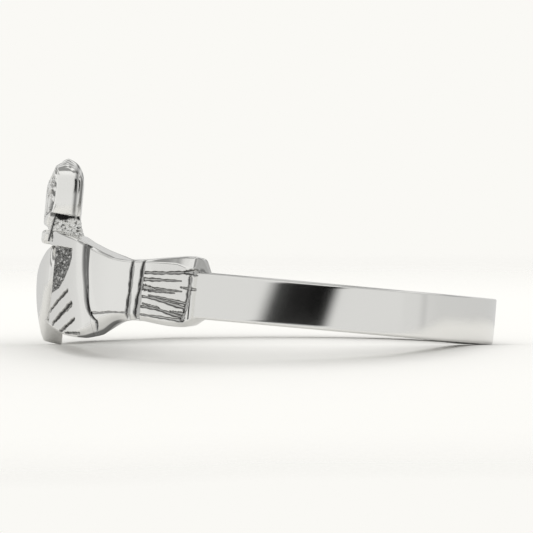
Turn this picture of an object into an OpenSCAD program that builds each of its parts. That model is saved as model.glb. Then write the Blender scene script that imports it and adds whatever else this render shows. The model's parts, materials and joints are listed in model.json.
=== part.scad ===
// Claddagh ring, cast in one piece: two hands with ribbed cuffs hold a heart that wears a crown.
// It lies on a flat surface at Z = 0, on the heart's tip and the back of the band.
// The head points towards -X and the crown up. Millimetres and degrees.
// Angles run round the ring from the middle of the head. The ring's own axis is Z before it leans.

/* [Finger hole] */
// Inside diameter, for the finger
finger_d = 17.35; // [16:0.05:20]

/* [Band] */
// Width of the band along the finger
band_w = 2; // [1.7:0.05:2.3]
// Thickness of the band
band_t = 0.92; // [0.8:0.02:1]
// Rounding of the band's outer edges
band_edge = 0.2; // [0.05:0.05:0.35]

/* [Cuffs] */
// Angle from the middle of the head to the far end of a cuff
cuff_end = 68.6; // [66:0.2:74]
// Angle from the middle of the head to the near end of a cuff
cuff_start = 52.6; // [52:0.2:56]
// Height of a cuff along the finger
cuff_h = 3; // [2.8:0.05:3.4]
// Thickness of a cuff over the finger hole
cuff_t = 1.24; // [1.15:0.01:1.4]
// Width of the chased lines and of the rings round the wrist
line_w = 0.15; // [0.1:0.01:0.2]
// Depth of the chased lines and of the rings round the wrist
line_d = 0.13; // [0.08:0.01:0.16]

/* [Wrists] */
// Angle where the plain wrist begins, beside the hand
wrist_start = 37; // [36.5:0.1:38.5]
// Width of the raised ring and its two grooves, beside the cuff
ring_w = 0.73; // [0.65:0.01:0.8]
// Height of a wrist along the finger, where it leaves the hand
wrist_h = 3.3; // [3:0.05:3.6]
// Thickness of a wrist over the finger hole
wrist_t = 1.27; // [1.2:0.01:1.4]

/* [Hands] */
// Angle from the middle of the head to the heel of a hand
hand_end = 34.6; // [33:0.1:35.2]
// How far the hands reach above the band's middle
hand_top = 2.12; // [2:0.02:2.3]
// How far the hands reach below the band's middle
hand_low = 2.42; // [2.3:0.02:2.6]
// Thickness at the back of a hand, over the finger hole
hand_t = 1.5; // [1.4:0.01:1.7]
// Thickness of the rough ground between hand and heart
ground_t = 1.16; // [1.05:0.01:1.25]
// Slope of the hand's heel, in degrees round the ring for each millimetre down
heel_slope = 1.4; // [0:0.1:1.8]
// Width of one finger
finger_w = 0.62; // [0.5:0.01:0.7]
// Width of a thumb
thumb_w = 0.66; // [0.5:0.01:0.75]

/* [Heart] */
// Height of the heart's top above the band's middle
heart_top = 1.68; // [1.5:0.02:1.8]
// Depth of the heart's tip below the band's middle
heart_tip = 2.7; // [2.6:0.02:3]
// Width of the heart
heart_w = 4.7; // [4.2:0.05:5]
// Thickness in the middle of the heart, over the finger hole
heart_t = 1.77; // [1.65:0.01:1.9]
// Fall of the heart's domed face from its middle to its side
heart_dome = 0.45; // [0.3:0.01:0.6]
// Thickness of the metal that the heart's tip is cut back to
tip_back = 0.55; // [0.3:0.05:0.7]

/* [Crown] */
// Height of the crown's highest point above the band's middle
crown_top = 5.45; // [5.2:0.05:5.8]
// Height of the crown's lower corners above the band's middle
crown_foot = 2.92; // [2.7:0.02:3]
// Height of the crown's lower edge in its middle
crown_dip = 2.45; // [2.3:0.05:2.6]
// Width of the crown at its widest
crown_w = 5.1; // [4.6:0.05:5.4]
// Width of the crown's lower edge
crown_foot_w = 4.2; // [3.8:0.05:4.5]
// Thickness from the finger hole to the crown's front
crown_t = 1.76; // [1.65:0.01:1.85]
// Clearance from the finger hole to the crown's back
crown_clear = 0.13; // [0.05:0.01:0.2]
// Width of the block between the heart and the crown
neck_w = 1.1; // [0.8:0.05:1.3]
// Depth of the drops sunk in the crown's front
drop_d = 0.3; // [0.2:0.01:0.4]
// Diameter of the beads on the crown
bead_d = 0.5; // [0.35:0.01:0.6]

/* [Hidden] */
silver = "#d6d6d2";
bore_r = finger_d / 2;
band_r = bore_r + band_t;
hand_r = bore_r + hand_t;
ground_r = bore_r + ground_t;
wrist_r = bore_r + wrist_t;
cuff_r = bore_r + cuff_t;
heart_r = bore_r + heart_t;
crown_r = bore_r + crown_t;
// Metal that the finger hole takes away again
inside = 0.5;
core_r = bore_r - inside;
// Sides of a swept finger, and of the round solids
tube_sides = 10;
round_sides = 96;

// A point at radius r, at an angle from the middle of the head towards -Y, at height z
function on_ring(r, angle, z) = [-r * cos(angle), -r * sin(angle), z];
function blend(a, b, share) = a + (b - a) * share;
function middle(points) = [for (k = [0:2]) [for (p = points) p[k]] * [for (p = points) 1 / len(points)]];
function degrees_of(length, r) = length / r * 180 / PI;

// Angle of the near edge of the rings round the wrist
ring_start = cuff_start - degrees_of(ring_w, cuff_r);

// Solid between rings of points that all have the same number of points
module skin(rings) {
    count = len(rings[0]);
    last = len(rings) - 1;
    points = concat([for (ring = rings) each ring], [middle(rings[0]), middle(rings[last])]);
    first_middle = count * len(rings);
    sides = [for (i = [0:last - 1], k = [0:count - 1])
        let (a = i * count + k, b = i * count + (k + 1) % count)
        each [[a, b, b + count], [a, b + count, a + count]]];
    caps = [for (k = [0:count - 1])
        each [[first_middle, (k + 1) % count, k],
              [first_middle + 1, last * count + k, last * count + (k + 1) % count]]];
    polyhedron(points = points, faces = concat(sides, caps), convexity = 6);
}

// Section of an arm at one angle: low and top are the heights of its outer face,
// low_side and top_side those of its flanks, and bevel is how far the flanks lie inside r
// slope turns the section on with each millimetre down
function section(angle, r, low, low_side, top, top_side, bevel, slope = 0) =
    [for (p = [[r - bevel, low_side], [r - bevel / 4, blend(low, low_side, 0.5)],
               [r, blend(top, low, 0.92)], [r, blend(top, low, 0.08)],
               [r - bevel / 4, blend(top, top_side, 0.5)], [r - bevel, top_side],
               [core_r, top_side], [core_r, low_side]])
        on_ring(p[0], angle - slope * p[1], p[1])];

// The same section on the far side of the head
function far_side(ring) =
    [for (p = ring) [p[0], -p[1], p[2]]];

// Fingers and thumbs: a path of [angle, radius, height, half width, half depth] is swept as an oval tube
function path_way(path, i) =
    let (a = path[max(i - 1, 0)], b = path[min(i + 1, len(path) - 1)],
         along = (b[0] - a[0]) * PI / 180 * path[i][1], up = b[2] - a[2], long = norm([along, up]))
    [along / long, up / long];

function path_ring(path, i) =
    let (p = path[i], way = path_way(path, i))
    [for (k = [0:tube_sides - 1])
        let (turn = 360 * k / tube_sides, across = p[3] * cos(turn), out = p[4] * sin(turn))
        on_ring(p[1] + out, p[0] - degrees_of(across * way[1], p[1]), p[2] + across * way[0])];

module sweep(path) {
    skin([for (i = [len(path) - 1:-1:0]) path_ring(path, i)]);
}

module both_sides() {
    children();
    mirror([0, 1, 0]) children();
}

module band() {
    half = band_w / 2;
    corner = [for (turn = [0:15:90])
        [band_r - band_edge * (1 - cos(turn)), half - band_edge * (1 - sin(turn))]];
    upper = concat([[band_r + band_edge / 6, 0]], corner, [[core_r, half]]);
    lower = [for (i = [len(upper) - 1:-1:1]) [upper[i][0], -upper[i][1]]];
    rotate_extrude($fn = round_sides) polygon(concat(upper, lower));
}

// Shares of the cuff from its near end, of cuff_t, and of half of cuff_h
//   along, thick, low, low_side, top, top_side
cuff_rows = [
    [0.05, 1.00, -0.72, -0.87, 0.88, 0.95],
    [0.30, 1.01, -0.79, -0.92, 0.91, 1.00],
    [0.66, 1.01, -0.81, -0.94, 0.92, 1.05],
    [0.88, 1.00, -0.80, -0.83, 0.80, 1.08],
    [0.96, 0.99, -0.76, -0.76, 0.74, 1.02],
    [1.00, 0.96, -0.70, -0.70, 0.70, 0.86]];

function cuff_section(row) = section(
    blend(cuff_start, cuff_end, row[0]), bore_r + cuff_t * row[1],
    row[2] * cuff_h / 2, row[3] * cuff_h / 2, row[4] * cuff_h / 2, row[5] * cuff_h / 2, line_w);

// Shares of the wrist from the hand to the raised ring, of wrist_t and of wrist_h
//   along, thick, low, low_side, top, top_side
wrist_rows = [
    [0.00, 1.00, -0.42, -0.500, 0.43, 0.460],
    [0.20, 1.00, -0.38, -0.465, 0.40, 0.430],
    [0.45, 0.99, -0.34, -0.430, 0.37, 0.405],
    [0.72, 0.98, -0.32, -0.415, 0.36, 0.385],
    [0.96, 0.97, -0.31, -0.410, 0.36, 0.385]];

function wrist_section(row) = section(
    blend(wrist_start, ring_start, row[0]), bore_r + wrist_t * row[1],
    row[2] * wrist_h, row[3] * wrist_h, row[4] * wrist_h, row[5] * wrist_h, 2 * line_w,
    heel_slope * (1 - row[0]));

// Two rings are cut round the arm, with a raised one between them
function ring_sections() =
    let (groove = degrees_of(line_w, cuff_r), low = -0.9 * cuff_h / 2, top = 0.9 * cuff_h / 2)
    [for (step = [[ring_start, -line_d], [ring_start + groove, -line_d], [ring_start + 2 * groove, 0],
                  [cuff_start - groove, 0], [cuff_start - groove / 2, -line_d], [cuff_start, -line_d]])
        section(step[0], cuff_r + step[1], low * 0.8, low, top * 0.95, top, line_w)];

// Shares of the hand's angle from the middle of the head, and of hand_low and hand_top
//   along, low, low_side, top
ground_rows = [
    [0.00, -0.95, -1.00, 1.00],
    [0.30, -0.95, -1.00, 1.00],
    [0.60, -0.94, -0.99, 0.95],
    [0.80, -0.86, -0.90, 0.87],
    [1.00, -0.70, -0.74, 0.79]];

function ground_section(row) = section(
    row[0] * hand_end, ground_r, row[1] * hand_low, row[2] * hand_low,
    row[3] * hand_top, row[3] * hand_top, line_w, heel_slope * row[0]);

module arms() {
    gap = section(wrist_start - degrees_of(line_w, wrist_r) / 2, ground_r - line_d,
                  -0.70 * hand_low, -0.73 * hand_low, 0.72 * hand_top, 0.74 * hand_top, line_w, heel_slope);
    near = concat([for (row = ground_rows) ground_section(row)], [gap],
                  [for (row = wrist_rows) wrist_section(row)], ring_sections(),
                  [for (row = cuff_rows) cuff_section(row)]);
    skin(concat([for (i = [len(near) - 1:-1:1]) far_side(near[i])], near));
}

// Chased lines of the cuff: heights at their near and far ends, as shares of half of cuff_h
//   near, far
chased_rows = [[0.54, 0.66], [0.33, 0.37], [0.08, 0.07], [-0.17, -0.37], [-0.45, -0.62]];

module chased_line(row) {
    steps = 4;
    skin([for (i = [0:steps])
        let (share = i / steps, clear = degrees_of(line_w, cuff_r),
             angle = blend(cuff_start + clear / 2, cuff_end + clear, share),
             z = blend(row[0], row[1], share) * cuff_h / 2)
        [on_ring(cuff_r - line_d, angle, z),
         on_ring(cuff_r + 2 * line_d, angle, z - 2 * line_w),
         on_ring(cuff_r + 2 * line_d, angle, z + 2 * line_w)]]);
}

module cuffed_arms() {
    difference() {
        arms();
        both_sides() for (row = chased_rows) chased_line(row);
    }
}

// The back of a hand rises from the ground. Its upper edge falls towards the heart.
//   along (share of hand_end), top (share of hand_top), low (share of hand_low), thick (share of hand_t)
hand_rows = [
    [0.54, -0.34, -0.90, 0.80],
    [0.62, -0.16, -0.92, 0.90],
    [0.70, 0.05, -0.90, 0.97],
    [0.80, 0.45, -0.86, 1.00],
    [0.87, 0.74, -0.82, 1.00],
    [0.94, 0.78, -0.77, 1.00],
    [1.00, 0.77, -0.72, 0.97]];

module hand_back() {
    skin([for (row = hand_rows)
        let (r = bore_r + hand_t * row[3], top = row[1] * hand_top, low = row[2] * hand_low)
        section(row[0] * hand_end, r, low, low - line_w / 2, top, top + line_w / 2, line_w * 1.5,
                heel_slope * (row[0] - hand_rows[0][0]) / (1 - hand_rows[0][0]))]);
}

// Where each finger runs: shares of hand_end, and of hand_low, at its root and at its tip
//   root_along, root_z, tip_along, tip_z
finger_rows = [
    [0.76, -0.05, 0.31, -0.46],
    [0.84, -0.25, 0.34, -0.69],
    [0.90, -0.45, 0.40, -0.86],
    [0.94, -0.65, 0.52, -0.95]];

module finger(row) {
    steps = 5;
    width = finger_w / 2;
    sweep([for (i = [0:steps])
        let (share = i / steps, full = i == 0 || i == steps ? 0.45 : 1, bow = sin(180 * share))
        [blend(row[0], row[2], share) * hand_end, blend(ground_r, hand_r, 0.35 + 0.05 * bow),
         (blend(row[1], row[3], share) + 0.03 * bow) * hand_low, width * full, width * 0.8 * full]]);
}

// The thumb lies along the top of the hand, as far as the heart
//   along (share of hand_end), height (share of hand_top), full (share of thumb_w)
thumb_rows = [
    [0.10, 0.93, 0.45],
    [0.20, 0.92, 0.90],
    [0.45, 0.90, 1.00],
    [0.75, 0.80, 1.05],
    [0.95, 0.70, 0.95]];

module thumb() {
    sweep([for (i = [len(thumb_rows) - 1:-1:0])
        let (row = thumb_rows[i], half = thumb_w / 2 * row[2])
        [row[0] * hand_end, hand_r - thumb_w / 2, row[1] * hand_top - half * 0.2, half, half]]);
}

module hand() {
    hand_back();
    for (row = finger_rows) finger(row);
    thumb();
}

// Outline seen from the front, pushed back through the head. Its own Y runs along the finger.
module from_front(near, far) {
    rotate([90, 0, -90]) translate([0, 0, near]) linear_extrude(height = far - near) children();
}

// Two round lobes and slightly full sides down to a blunt tip
function heart_outline() =
    let (lobe = heart_w * 0.27, mid = heart_w / 2 - lobe, up = heart_top - lobe, blunt = heart_w / 30,
         right = [for (turn = [128:-16:-32]) [mid + lobe * cos(turn), up + lobe * sin(turn)]],
         low = right[len(right) - 1],
         full = [blend(low[0], blunt, 0.5) + 0.1 * lobe, blend(low[1], -heart_tip, 0.5)],
         half = concat([[0, up + lobe * 0.55]], right, [full, [blunt, -heart_tip]]))
    concat(half, [for (i = [len(half) - 1:-1:1]) [-half[i][0], half[i][1]]]);

// The heart's face is part of a ball, and its tip is cut back behind
dome_r = (pow(heart_w / 2, 2) + pow(heart_dome, 2)) / (2 * heart_dome);
dome_z = 0.15 * heart_top;
tip_x = bore_r + tip_back;

module heart() {
    difference() {
        intersection() {
            from_front(core_r, heart_r + inside) polygon(heart_outline());
            translate([dome_r - heart_r, 0, dome_z]) sphere(r = dome_r, $fn = round_sides);
        }
        translate([-tip_x, -heart_w, -2 * heart_tip]) cube([bore_r, 2 * heart_w, 2 * heart_tip - hand_low]);
    }
}

// Lobes along the crown's upper edge: place and height as shares of half of crown_w and of crown_top
//   across, up, size
lobe_rows = [
    [-0.740, 0.865, 0.260],
    [-0.385, 0.885, 0.200],
    [0.000, 0.905, 0.205],
    [0.385, 0.885, 0.200],
    [0.740, 0.865, 0.260]];

module crown_outline() {
    half = crown_w / 2;
    foot = crown_foot_w / 2;
    shoulder = lobe_rows[0][1] * crown_top;
    right = [[foot / 2, blend(crown_dip, crown_foot, 0.3)], [foot, crown_foot],
             [half * 0.9, blend(crown_foot, shoulder, 0.2)], [half, shoulder]];
    left = [for (i = [len(right) - 1:-1:0]) [-right[i][0], right[i][1]]];
    // The upper edge runs through the middles of the lobes, so that nothing shows between them
    upper = [for (i = [len(lobe_rows) - 1:-1:0]) [lobe_rows[i][0] * half, lobe_rows[i][1] * crown_top]];
    polygon(concat([[0, crown_dip]], right, upper, left));
}

// The crown seen from its side: upright behind, full in front and round over the top.
// X is the distance from the ring's axis.
crown_back = bore_r + crown_clear;
crest_x = blend(crown_back, crown_r, 0.46);
back_round = 0.2 * crown_top;
front_round = 0.25 * crown_top;

module crown_side() {
    polygon(concat(
        [for (turn = [0:12:84])
            [crest_x - (crest_x - crown_back) * cos(turn), crown_top - back_round * (1 - sin(turn))]],
        [for (turn = [90:-12:6])
            [crest_x + (crown_r - crest_x) * cos(turn), crown_top - front_round * (1 - sin(turn))]],
        [[crown_r, blend(crown_dip, crown_top, 0.3)], [crown_r - line_w, crown_dip - line_w],
         [crown_back, crown_dip - line_w]]));
}

// How far the crown's front lies from the ring's axis plane at a place across it and at a height
function crown_face(across, z) =
    let (over = max(0, 1 - (crown_top - z) / front_round),
         round_x = crest_x + (crown_r - crest_x) * sqrt(1 - over * over))
    min(round_x, sqrt(crown_r * crown_r - across * across));

module crown_lobe(row) {
    translate([-crown_back, row[0] * crown_w / 2, row[1] * crown_top])
        rotate([0, -90, 0]) cylinder(r = row[2] * crown_w / 2, h = crown_t, $fn = 32);
}

module drop(across) {
    r = 0.059 * crown_w;
    z = crown_foot + r / 2;
    from_front(crown_face(across, z) - drop_d, crown_r + inside)
        polygon(concat([for (turn = [160:20:380]) [across + r * cos(turn), z + r * sin(turn)]],
                       [[across, z + 3.4 * r]]));
}

module crown() {
    difference() {
        intersection() {
            union() {
                from_front(crown_back, crown_r + inside) crown_outline();
                for (row = lobe_rows) crown_lobe(row);
            }
            rotate([90, 0, 0]) translate([0, 0, -crown_w]) linear_extrude(height = 2 * crown_w)
                mirror([1, 0]) crown_side();
            translate([0, 0, crown_dip - crown_r]) cylinder(r = crown_r, h = 2 * crown_r, $fn = round_sides);
        }
        for (share = [-0.56, -0.19, 0.19, 0.56]) drop(share * crown_w / 2);
    }
    for (row = lobe_rows)
        let (across = row[0] * crown_w / 2, z = row[1] * crown_top - bead_d / 3)
        translate([-crown_face(across, z), across, z]) sphere(d = bead_d, $fn = 32);
}

// Four-sided outline between two heights, for from_front
module upright(low, low_w, top, top_w) {
    polygon([[-low_w / 2, low], [low_w / 2, low], [top_w / 2, top], [-top_w / 2, top]]);
}

// The crown stands on a neck between the thumbs, with a small block in front above the heart's cleft
module neck() {
    cleft = heart_top - 0.08 * heart_w;
    from_front(crown_back + line_w / 3, ground_r + line_w / 2)
        upright(cleft, crown_foot_w, crown_foot + bead_d, 0.86 * crown_foot_w);
    from_front(ground_r - line_w, heart_r - line_w / 3)
        upright(cleft, neck_w, crown_dip - line_w, 1.3 * neck_w);
    from_front(ground_r - line_w, crown_r - drop_d)
        upright(cleft, neck_w, crown_foot, neck_w);
}

// How far the ring leans when the tip's back corner and the back of the band touch the floor
lean = atan2(heart_tip - band_w / 2, tip_x + band_r - band_edge);
lift = heart_tip * cos(lean) - tip_x * sin(lean);
// The middle of the ring's length lies at X = 0, between the heart's face and the back of the band
back_x = (band_r - band_edge) * cos(lean) + (band_w / 2 - band_edge) * sin(lean) + band_edge;
face_x = (dome_r - heart_r) * cos(lean) + dome_z * sin(lean) - dome_r;
middle_x = -(back_x + face_x) / 2;

module ring() {
    color(silver) translate([middle_x, 0, lift]) rotate([0, lean, 0]) difference() {
        union() {
            band();
            cuffed_arms();
            both_sides() hand();
            heart();
            crown();
            neck();
        }
        translate([0, 0, -2 * heart_tip])
            cylinder(r = bore_r, h = 2 * (heart_tip + crown_top), $fn = round_sides);
    }
}

ring();
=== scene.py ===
# Claddagh ring, cast in one piece of silver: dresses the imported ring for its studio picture.
# Shapes are worked out on the upright ring, in millimetres: the head is at -X, angles run round
# from the middle of the head, heights along the finger. toRow lays them down with the CAD ring.
import json
import math

import bpy
import numpy as np
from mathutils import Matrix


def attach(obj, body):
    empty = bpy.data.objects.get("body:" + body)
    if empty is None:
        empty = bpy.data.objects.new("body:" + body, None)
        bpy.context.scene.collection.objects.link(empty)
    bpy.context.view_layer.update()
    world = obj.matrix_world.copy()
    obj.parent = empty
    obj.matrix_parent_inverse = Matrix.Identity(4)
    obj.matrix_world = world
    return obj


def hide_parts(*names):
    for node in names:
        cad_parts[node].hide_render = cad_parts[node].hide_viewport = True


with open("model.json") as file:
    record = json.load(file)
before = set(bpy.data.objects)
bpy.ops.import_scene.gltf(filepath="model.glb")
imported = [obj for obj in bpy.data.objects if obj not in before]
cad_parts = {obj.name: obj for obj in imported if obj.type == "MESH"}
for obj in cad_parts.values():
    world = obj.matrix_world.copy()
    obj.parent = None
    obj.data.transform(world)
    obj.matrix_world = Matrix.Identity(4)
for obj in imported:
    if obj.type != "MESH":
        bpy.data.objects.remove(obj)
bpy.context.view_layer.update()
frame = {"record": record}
fingerHole = next(m for m in frame["record"]["mounts"] if m["name"] == "finger_bore")
holeR = fingerHole["dims"]["r_mm"]
leanSin, leanCos = fingerHole["axis"][0], fingerHole["axis"][2]
holeAt = 1000 * np.array(fingerHole["pos_m"])
print("frame loaded: finger hole of radius", holeR, "mm")


# From the upright ring in millimetres to the ring on the floor in metres
def toRow(points):
    x, y, z = np.moveaxis(np.asarray(points, float), -1, 0)
    lying = np.stack([x * leanCos + z * leanSin, y, z * leanCos - x * leanSin], -1)
    return (lying + holeAt) / 1000


# Place on the ring at a radius, an angle from the middle of the head and a height; side is 1 near, -1 far
def onRing(r, angle, z, side=1):
    turn = np.radians(angle)
    return np.stack([-r * np.cos(turn), -side * r * np.sin(turn), z + 0 * turn], -1)


def blend(a, b, share):
    return a + (b - a) * share


def smooth(low, high, value):
    share = np.clip((value - low) / (high - low), 0, 1)
    return share * share * (3 - 2 * share)


# Smooth curve through one column of a table whose first column is the place
def follow(rows, column, at):
    x = np.array([row[0] for row in rows], float)
    y = np.array([row[column] for row in rows], float)
    slope = np.diff(y) / np.diff(x)
    bend = np.zeros(len(x))
    bend[0], bend[-1] = slope[0], slope[-1]
    for i in range(1, len(x) - 1):
        if slope[i] * slope[i - 1] > 0:
            bend[i] = 2 * slope[i] * slope[i - 1] / (slope[i] + slope[i - 1])
    at = np.clip(at, x[0], x[-1])
    i = np.clip(np.searchsorted(x, at, side="right") - 1, 0, len(x) - 2)
    width = x[i + 1] - x[i]
    t = (at - x[i]) / width
    return (y[i] * (1 + 2 * t) * (1 - t) ** 2 + bend[i] * width * t * (1 - t) ** 2
            + y[i + 1] * t * t * (3 - 2 * t) + bend[i + 1] * width * t * t * (t - 1))


# Soft lumps of a given size between -1 and 1, the same for the same place and seed
def lumps(points, size, seed):
    cells = 32
    random = np.random.RandomState(seed).uniform(-1, 1, (cells, cells, cells))
    place = points / size
    low = np.floor(place).astype(int)
    part = place - low
    part = part * part * (3 - 2 * part)
    total = 0
    for corner in np.ndindex(2, 2, 2):
        i, j, k = np.moveaxis((low + corner) % cells, -1, 0)
        share = np.prod(np.where(corner, part, 1 - part), -1)
        total = total + share * random[i, j, k]
    return total


# Closed outlines with rounded corners, one for each section. A corner is a pair of numbers or of arrays
# along the sections, with one radius and one number of steps along the side after it
def roundedLoops(corners, radii, sideSteps, arcSteps=6):
    count = len(corners)
    corners = np.stack(np.broadcast_arrays(*[value for corner in corners for value in corner]), -1)
    corners = corners.reshape(-1, count, 2)
    starts, ends = [], []
    for k in range(count):
        here, before, after = corners[:, k], corners[:, k - 1], corners[:, (k + 1) % count]
        back, onward = before - here, after - here
        backLong = np.linalg.norm(back, axis=-1, keepdims=True) + 1e-9
        onwardLong = np.linalg.norm(onward, axis=-1, keepdims=True) + 1e-9
        reach = np.minimum(radii[k], 0.45 * np.minimum(backLong, onwardLong))
        starts.append(here + back / backLong * reach)
        ends.append(here + onward / onwardLong * reach)
    loop = []
    for k in range(count):
        for t in np.linspace(0, 1, arcSteps, endpoint=False):
            loop.append((1 - t) ** 2 * starts[k] + 2 * t * (1 - t) * corners[:, k] + t * t * ends[k])
        for t in np.linspace(0, 1, sideSteps[k], endpoint=False):
            loop.append(blend(ends[k], starts[(k + 1) % count], t))
    return np.stack(loop, 1)


def smoothMesh(name, points, faces):
    mesh = bpy.data.meshes.new(name)
    mesh.from_pydata(points.tolist(), [], faces)
    mesh.polygons.foreach_set("use_smooth", [True] * len(mesh.polygons))
    return mesh


def addObject(name, data):
    thing = bpy.data.objects.new(name, data)
    bpy.context.scene.collection.objects.link(thing)
    return thing


# A smooth skin over rings of points, (rings, points, 3); open ends are closed with shrinking rings
def skin(name, rings, masks=None, closed=False, flip=False):
    rings = np.asarray(rings, float)
    values = {key: np.broadcast_to(mask, rings.shape[:2]) for key, mask in (masks or {}).items()}
    if not closed:
        first, last = rings[0], rings[-1]
        for share in (0.6, 0.3, 0.02):
            rings = np.concatenate([[first.mean(0) + (first - first.mean(0)) * share], rings,
                                    [last.mean(0) + (last - last.mean(0)) * share]])
            for key, value in values.items():
                values[key] = np.concatenate([value[:1], value, value[-1:]])
    ringCount, pointCount = rings.shape[:2]
    index = np.arange(ringCount * pointCount).reshape(ringCount, pointCount)
    here, after = (index, np.roll(index, -1, 0)) if closed else (index[:-1], index[1:])
    quads = np.stack([here, np.roll(here, -1, 1), np.roll(after, -1, 1), after], -1).reshape(-1, 4)
    if flip:
        quads = quads[:, ::-1]
    faces = quads.tolist()
    if not closed:
        first, last = index[0].tolist(), index[-1].tolist()
        faces += [first, last[::-1]] if flip else [first[::-1], last]
    mesh = smoothMesh(name, toRow(rings.reshape(-1, 3)), faces)
    for key, value in values.items():
        layer = mesh.attributes.new(key, "FLOAT", "POINT")
        layer.data.foreach_set("value", value.reshape(-1).astype(np.float32))
    mesh.update()
    if not closed:
        # The rims of flat ends stay crisp, so that pieces that meet there show no seam
        rim = np.zeros(len(mesh.vertices), int)
        rim[index[3]], rim[index[-4]] = 1, 2
        pairs = np.zeros(2 * len(mesh.edges), int)
        mesh.edges.foreach_get("vertices", pairs)
        ends = rim[pairs.reshape(-1, 2)]
        crisp = mesh.attributes.new("sharp_edge", "BOOLEAN", "EDGE")
        crisp.data.foreach_set("value", (ends[:, 0] > 0) & (ends[:, 0] == ends[:, 1]))
    print(name, "has", sum(len(face) - 2 for face in faces), "triangles")
    return addObject(name, mesh)


# Distance from places (along, up) to a path of points, and how far along the path the nearest one is
def toPath(along, up, path):
    path = np.array(path, float)
    steps = np.linalg.norm(np.diff(path, axis=0), axis=1)
    before = np.concatenate([[0], np.cumsum(steps)])
    nearest = np.full(np.shape(along), 1e9)
    share = np.zeros(np.shape(along))
    for i, step in enumerate(steps):
        way = (path[i + 1] - path[i]) / step
        run = np.clip((along - path[i, 0]) * way[0] + (up - path[i, 1]) * way[1], 0, step)
        apart = np.hypot(along - path[i, 0] - run * way[0], up - path[i, 1] - run * way[1])
        closer = apart < nearest
        nearest = np.where(closer, apart, nearest)
        share = np.where(closer, (before[i] + run) / before[-1], share)
    return nearest, share


# How deep inside a closed outline each place lies, negative outside it
def insideOf(along, up, outline):
    outline = list(outline)
    nearest, _ = toPath(along, up, outline + outline[:1])
    crossings = np.zeros(np.shape(along), int)
    for (a, b), (c, d) in zip(outline, outline[1:] + outline[:1]):
        if b != d:
            crossings += ((b > up) != (d > up)) & (along < a + (up - b) * (c - a) / (d - b))
    return np.where(crossings % 2 == 1, nearest, -nearest)


midR = holeR + 1.3   # radius at which angles are turned into lengths


def arcLong(angle):
    return np.radians(angle) * midR


graver = {
    # How much the width of a cut shakes, and half of it as a share of the stated one; in such halves
    # where its walls end, and where its painted shade is darkest and over what width
    "shake": 0.25, "half": 0.56, "rim": 1.15, "darkAt": 0.8, "darkWide": 0.33,
    # Painted shade on its floor, and the depth from which that painted shade is full
    "floor": 0.5, "fully": 0.08,
}


# Depth of the cuts at each place, and the painted shade in them
def cutDepth(angle, z, cuts):
    deepest, paintedShade = np.zeros(np.shape(z)), np.zeros(np.shape(z))
    for path, first, last, deep, wall in cuts:
        apart, share = toPath(arcLong(angle), z, [(arcLong(a), b) for a, b in path])
        shake = 1 + graver["shake"] * np.sin(share * 23 + 40 * deep) * np.sin(share * 9 + 3)
        off = apart / (blend(first, last, share) * graver["half"] * shake)
        deepest = np.maximum(deepest, deep * (1 - smooth(1 - wall, graver["rim"], off)))
        # Painted shade, darkest along the walls of a cut and lighter on its floor
        edge = np.exp(-((off - graver["darkAt"]) / graver["darkWide"]) ** 2)
        inside = smooth(1.1, graver["darkAt"], off) * graver["floor"]
        paintedShade = np.maximum(paintedShade, np.maximum(edge, inside) * smooth(0.0, graver["fully"], deep))
    return deepest, paintedShade


band = {
    "wide": 2.0, "thick": 0.92, "topEdge": 0.08, "lowEdge": 0.13, "innerEdge": 0.12, "steps": 720,
    # How far the outside swells, then the height and size of its soft waves
    "swell": 0.012, "waves": 0.0015, "waveSize": 1.7,
    # Under the arms, which end between these angles, the bore lies this much deeper than theirs, so
    # that no two skins meet
    "underArms": 0.04, "armEnds": (71.5, 69.0),
}


def makeBand():
    half, outer = band["wide"] / 2, holeR + band["thick"]
    angles = np.linspace(0, 360, band["steps"], endpoint=False)
    inner = holeR + band["underArms"] * smooth(*band["armEnds"], np.minimum(angles, 360 - angles))
    corners = [(outer, half), (outer, -half), (inner, -half), (inner, half)]
    radii = [band["topEdge"], band["lowEdge"], band["innerEdge"], band["innerEdge"]]
    loops = roundedLoops(corners, radii, [22, 5, 10, 5], 7)
    r, z = loops[..., 0], loops[..., 1]
    face = smooth(holeR + 0.3, outer - 0.1, r)
    r = r + face * band["swell"] * (1 - (z / half) ** 2)
    points = onRing(r, angles[:, None], z)
    r = r + face * band["waves"] * lumps(points, band["waveSize"], 3)
    return skin("band", onRing(r, angles[:, None], z), closed=True, flip=True)


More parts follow.
